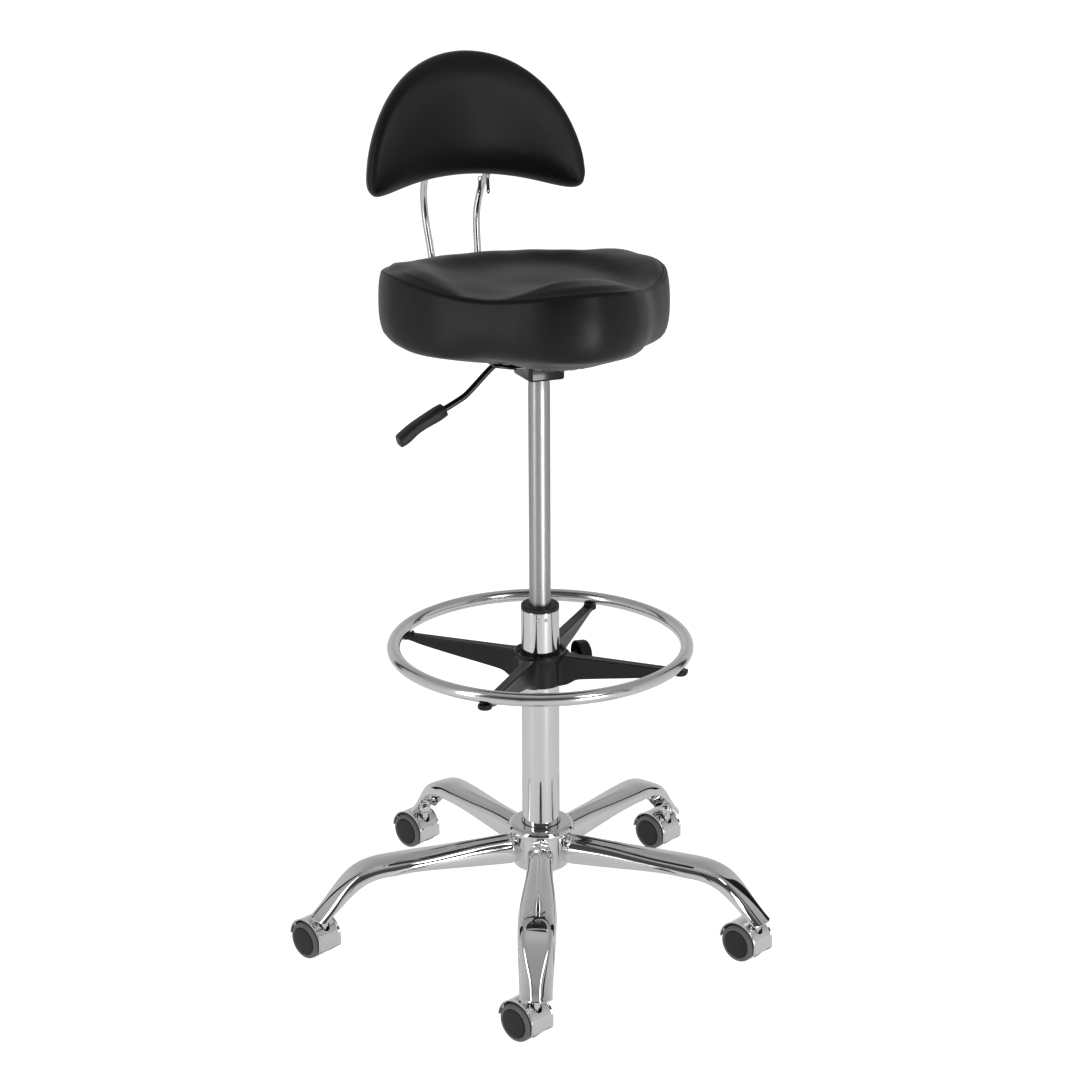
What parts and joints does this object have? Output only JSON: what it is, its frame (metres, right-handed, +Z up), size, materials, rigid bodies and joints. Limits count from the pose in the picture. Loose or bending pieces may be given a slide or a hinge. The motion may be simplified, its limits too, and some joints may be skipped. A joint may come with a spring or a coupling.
{
  "type": "rolling stylist stool",
  "caption": "Rolling stylist stool: contoured black seat and half-moon backrest on a gas lift, height-adjustable chrome foot ring, star base on twin-wheel casters.",
  "frame": {"origin": "centre of the footprint's bounding box, on the floor under the wheels", "axes": "+Z up along the column, the sitter faces -Y, +X to the sitter's left, backrest at +Y; the column axis is at x 26.5 mm, y -25.5 mm because the parked casters make the footprint lopsided"},
  "size_m": [0.6167, 0.6372, 1.15],
  "materials": {
    "chrome": "mirror chrome plating",
    "satin_steel": "satin ground steel",
    "zinc_steel": "zinc plated",
    "black_steel": "gloss black enamel",
    "black_plastic": "satin black nylon",
    "grip_plastic": "fine-textured dark grey plastic",
    "wheel_plastic": "satin dark grey nylon",
    "tyre": "smooth grey tread",
    "cover": "satin black leatherette, fine grain",
    "plywood": "plain plywood"
  },
  "bodies": {
    "base": {"base_hub": "chrome", "base_leg_1": "chrome", "base_leg_2": "chrome", "base_leg_3": "chrome", "base_leg_4": "chrome", "base_leg_5": "chrome", "column_tube": "chrome", "column_bush": "black_plastic", "thrust_bearing": "zinc_steel"},
    "lift_rod": {"piston_rod": "satin_steel", "rod_clip": "zinc_steel"},
    "seat_frame": {"gas_cylinder": "satin_steel", "seat_mechanism": "black_steel", "seat_board": "plywood", "seat_cushion": "cover", "back_rod_left": "chrome", "back_rod_right": "chrome", "back_board": "plywood", "back_cushion": "cover"},
    "lever": {"lever_rod": "black_steel", "lever_grip": "grip_plastic"},
    "valve": {"valve_button": "zinc_steel"},
    "foot_rest": {"foot_ring": "chrome", "foot_ring_spider": "black_plastic"},
    "foot_knob": {"foot_ring_knob": "black_plastic"},
    "caster_1": {"caster_stem_1": "chrome", "caster_hood_1": "chrome", "caster_axle_1": "zinc_steel"},
    "wheel_1_left": {"caster_1_wheel_left": "wheel_plastic", "caster_1_tyre_left": "tyre"},
    "wheel_1_right": {"caster_1_wheel_right": "wheel_plastic", "caster_1_tyre_right": "tyre"},
    "caster_2": {"caster_stem_2": "chrome", "caster_hood_2": "chrome", "caster_axle_2": "zinc_steel"},
    "wheel_2_left": {"caster_2_wheel_left": "wheel_plastic", "caster_2_tyre_left": "tyre"},
    "wheel_2_right": {"caster_2_wheel_right": "wheel_plastic", "caster_2_tyre_right": "tyre"},
    "caster_3": {"caster_stem_3": "chrome", "caster_hood_3": "chrome", "caster_axle_3": "zinc_steel"},
    "wheel_3_left": {"caster_3_wheel_left": "wheel_plastic", "caster_3_tyre_left": "tyre"},
    "wheel_3_right": {"caster_3_wheel_right": "wheel_plastic", "caster_3_tyre_right": "tyre"},
    "caster_4": {"caster_stem_4": "chrome", "caster_hood_4": "chrome", "caster_axle_4": "zinc_steel"},
    "wheel_4_left": {"caster_4_wheel_left": "wheel_plastic", "caster_4_tyre_left": "tyre"},
    "wheel_4_right": {"caster_4_wheel_right": "wheel_plastic", "caster_4_tyre_right": "tyre"},
    "caster_5": {"caster_stem_5": "chrome", "caster_hood_5": "chrome", "caster_axle_5": "zinc_steel"},
    "wheel_5_left": {"caster_5_wheel_left": "wheel_plastic", "caster_5_tyre_left": "tyre"},
    "wheel_5_right": {"caster_5_wheel_right": "wheel_plastic", "caster_5_tyre_right": "tyre"}
  },
  "joints": [
    {"name": "seat_swivel", "type": "hinge", "parent": "base", "child": "lift_rod", "pos_m": [0.0265, -0.0255, 0.11], "axis": [0, 0, 1], "continuous": true},
    {"name": "seat_height", "type": "slide", "parent": "lift_rod", "child": "seat_frame", "axis": [0, 0, 1], "range_m": [-0.26, 0]},
    {"name": "lever_lift", "type": "hinge", "parent": "seat_frame", "child": "lever", "pos_m": [0.0037, -0.0255, 0.79], "axis": [0, 1, 0], "range_deg": [0, 8], "stiffness_Nm_per_rad": 4, "springref_deg": -6.88},
    {"name": "valve_press", "type": "slide", "parent": "seat_frame", "child": "valve", "axis": [0, 0, -1], "range_m": [0, 0.0034], "stiffness_N_per_m": 100, "springref_m": -0.001},
    {"name": "foot_ring_height", "type": "slide", "parent": "base", "child": "foot_rest", "axis": [0, 0, 1], "range_m": [-0.19, 0.05]},
    {"name": "foot_ring_clamp", "type": "hinge", "parent": "foot_rest", "child": "foot_knob", "pos_m": [0.08648, -0.02393, 0.387], "axis": [0.9997, 0.0262, 0], "range_deg": [0, 360]},
    {"name": "caster_1_swivel", "type": "hinge", "parent": "base", "child": "caster_1", "pos_m": [-0.09504, -0.29978, 0.05], "axis": [0, 0, 1], "continuous": true},
    {"name": "wheel_1_left_roll", "type": "hinge", "parent": "caster_1", "child": "wheel_1_left", "pos_m": [-0.10209, -0.28431, 0.025], "axis": [0.91, 0.4147, 0], "continuous": true},
    {"name": "wheel_1_right_roll", "type": "hinge", "parent": "caster_1", "child": "wheel_1_right", "pos_m": [-0.10209, -0.28431, 0.025], "axis": [0.91, 0.4147, 0], "continuous": true},
    {"name": "caster_2_swivel", "type": "hinge", "parent": "base", "child": "caster_2", "pos_m": [0.24979, -0.22585, 0.05], "axis": [0, 0, 1], "continuous": true},
    {"name": "wheel_2_left_roll", "type": "hinge", "parent": "caster_2", "child": "wheel_2_left", "pos_m": [0.24274, -0.21038, 0.025], "axis": [0.91, 0.4147, 0], "continuous": true},
    {"name": "wheel_2_right_roll", "type": "hinge", "parent": "caster_2", "child": "wheel_2_right", "pos_m": [0.24274, -0.21038, 0.025], "axis": [0.91, 0.4147, 0], "continuous": true},
    {"name": "caster_3_swivel", "type": "hinge", "parent": "base", "child": "caster_3", "pos_m": [0.28604, 0.12495, 0.05], "axis": [0, 0, 1], "continuous": true},
    {"name": "wheel_3_left_roll", "type": "hinge", "parent": "caster_3", "child": "wheel_3_left", "pos_m": [0.279, 0.14042, 0.025], "axis": [0.91, 0.4147, 0], "continuous": true},
    {"name": "wheel_3_right_roll", "type": "hinge", "parent": "caster_3", "child": "wheel_3_right", "pos_m": [0.279, 0.14042, 0.025], "axis": [0.91, 0.4147, 0], "continuous": true},
    {"name": "caster_4_swivel", "type": "hinge", "parent": "base", "child": "caster_4", "pos_m": [-0.03639, 0.26783, 0.05], "axis": [0, 0, 1], "continuous": true},
    {"name": "wheel_4_left_roll", "type": "hinge", "parent": "caster_4", "child": "wheel_4_left", "pos_m": [-0.04344, 0.2833, 0.025], "axis": [0.91, 0.4147, 0], "continuous": true},
    {"name": "wheel_4_right_roll", "type": "hinge", "parent": "caster_4", "child": "wheel_4_right", "pos_m": [-0.04344, 0.2833, 0.025], "axis": [0.91, 0.4147, 0], "continuous": true},
    {"name": "caster_5_swivel", "type": "hinge", "parent": "base", "child": "caster_5", "pos_m": [-0.27191, 0.00534, 0.05], "axis": [0, 0, 1], "continuous": true},
    {"name": "wheel_5_left_roll", "type": "hinge", "parent": "caster_5", "child": "wheel_5_left", "pos_m": [-0.27896, 0.02081, 0.025], "axis": [0.91, 0.4147, 0], "continuous": true},
    {"name": "wheel_5_right_roll", "type": "hinge", "parent": "caster_5", "child": "wheel_5_right", "pos_m": [-0.27896, 0.02081, 0.025], "axis": [0.91, 0.4147, 0], "continuous": true}
  ],
  "couplings": [
    {"joint": "valve_press", "follows": "lever_lift", "m_per_rad": 0.0228}
  ]
}
